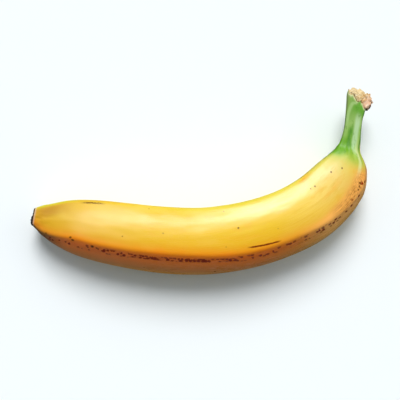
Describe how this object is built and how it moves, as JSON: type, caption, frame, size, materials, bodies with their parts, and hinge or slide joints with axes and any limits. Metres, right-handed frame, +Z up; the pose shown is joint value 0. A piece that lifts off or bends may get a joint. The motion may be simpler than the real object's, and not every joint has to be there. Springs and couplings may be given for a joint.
{
  "type": "banana",
  "caption": "Ripe yellow banana lying on its side, with a green stalk torn from the bunch, rounded ridges, a dark blossom scar and brown flecks.",
  "frame": {"origin": "middle of the bounding box, on the surface that the fruit lies on", "axes": "+Z up, +X from the blossom end to the stalk end, +Y towards the inside of the bend"},
  "size_m": [0.1908, 0.1056, 0.0356],
  "materials": {
    "peel": "satin"
  },
  "bodies": {
    "root": {"banana": "peel"}
  },
  "joints": []
}
